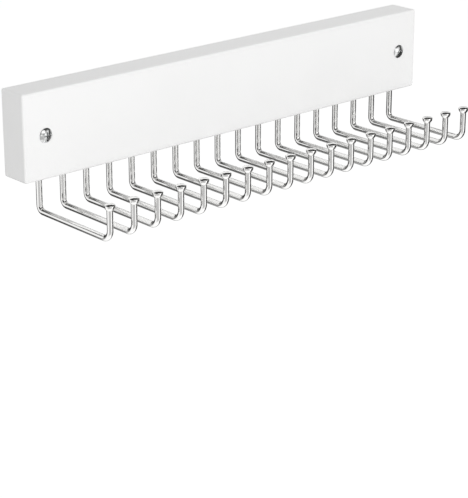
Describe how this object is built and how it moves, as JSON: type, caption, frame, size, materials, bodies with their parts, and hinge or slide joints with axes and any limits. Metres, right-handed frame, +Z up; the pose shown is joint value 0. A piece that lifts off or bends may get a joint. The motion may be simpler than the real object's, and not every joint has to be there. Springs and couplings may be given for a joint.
{
  "type": "tie hanger",
  "caption": "Wall rack for ties: a white painted board with a row of bent chrome wire hooks under it, each with an upset head, and raised countersunk screws through its face.",
  "frame": {"origin": "middle of the board's back face, which lies on the wall", "axes": "+X along the board, to the right seen from the front; +Y into the wall; +Z up"},
  "size_m": [0.365, 0.1157, 0.0861],
  "materials": {
    "white_paint": "satin white paint",
    "chrome_wire": "bright chrome plate",
    "bright_screw": "bright zinc plate"
  },
  "bodies": {
    "root": {"board": "white_paint", "hook_01": "chrome_wire", "hook_02": "chrome_wire", "hook_03": "chrome_wire", "hook_04": "chrome_wire", "hook_05": "chrome_wire", "hook_06": "chrome_wire", "hook_07": "chrome_wire", "hook_08": "chrome_wire", "hook_09": "chrome_wire", "hook_10": "chrome_wire", "hook_11": "chrome_wire", "hook_12": "chrome_wire", "hook_13": "chrome_wire", "hook_14": "chrome_wire", "hook_15": "chrome_wire", "hook_16": "chrome_wire", "hook_17": "chrome_wire", "hook_18": "chrome_wire", "screw_left": "bright_screw", "screw_right": "bright_screw"}
  },
  "joints": []
}
